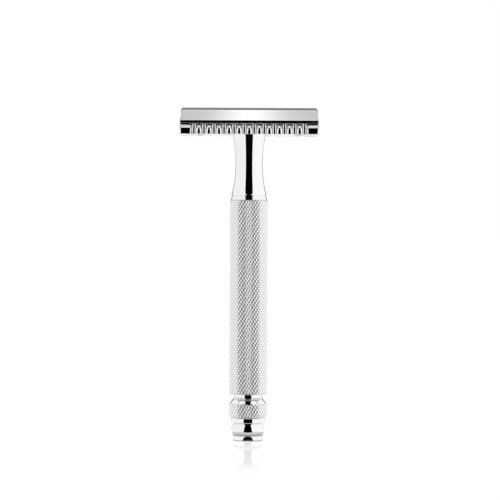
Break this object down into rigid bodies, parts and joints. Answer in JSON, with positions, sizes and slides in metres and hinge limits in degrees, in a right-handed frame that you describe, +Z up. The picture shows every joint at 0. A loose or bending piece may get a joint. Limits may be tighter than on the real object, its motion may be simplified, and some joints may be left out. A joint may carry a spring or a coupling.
{
  "type": "double-edge safety razor",
  "caption": "Double-edge safety razor with an open-comb head, a knurled round handle and a twist knob that screws the cap down onto the blade.",
  "frame": {"origin": "centre of the flat base of the knob, where the razor stands upright", "axes": "+Z up the handle to the head, +X along the length of the blade, +Y across the head towards the far comb"},
  "size_m": [0.043, 0.0248, 0.1039],
  "materials": {
    "chrome": "mirror-polished chrome plate",
    "knurled_chrome": "chrome plate over a fine diamond knurl",
    "blade_steel": "thin ground stainless strip with honed edges",
    "spindle_steel": "turned steel",
    "brass": "turned brass",
    "washer_nylon": "matte"
  },
  "bodies": {
    "handle": {"comb_plate": "chrome", "neck": "chrome", "neck_ring": "chrome", "grip_tube": "knurled_chrome", "upper_bush": "brass", "lower_bush": "chrome"},
    "twist_knob": {"knob": "chrome", "knob_end_cap": "chrome", "thrust_washer": "washer_nylon", "spindle": "spindle_steel", "spindle_socket": "brass", "socket_pin": "spindle_steel", "knob_screw": "spindle_steel", "screw_washer": "spindle_steel"},
    "cap": {"top_cap": "chrome", "cap_stud": "chrome", "cap_locating_pins": "chrome"},
    "razor_blade": {"blade": "blade_steel"}
  },
  "joints": [
    {"name": "knob_twist", "type": "hinge", "parent": "handle", "child": "twist_knob", "pos_m": [0, 0, 0.0073], "axis": [0, 0, -1], "range_deg": [0, 2970]},
    {"name": "cap_lift", "type": "slide", "parent": "handle", "child": "cap", "axis": [0, 0, 1], "range_m": [0, 0.00661]},
    {"name": "blade_lift", "type": "slide", "parent": "handle", "child": "razor_blade", "axis": [0, 0, 1], "range_m": [0, 0.00331]}
  ],
  "couplings": [
    {"joint": "cap_lift", "follows": "knob_twist", "m_per_rad": 0.00012732},
    {"joint": "blade_lift", "follows": "knob_twist", "m_per_rad": 0.000063662}
  ]
}
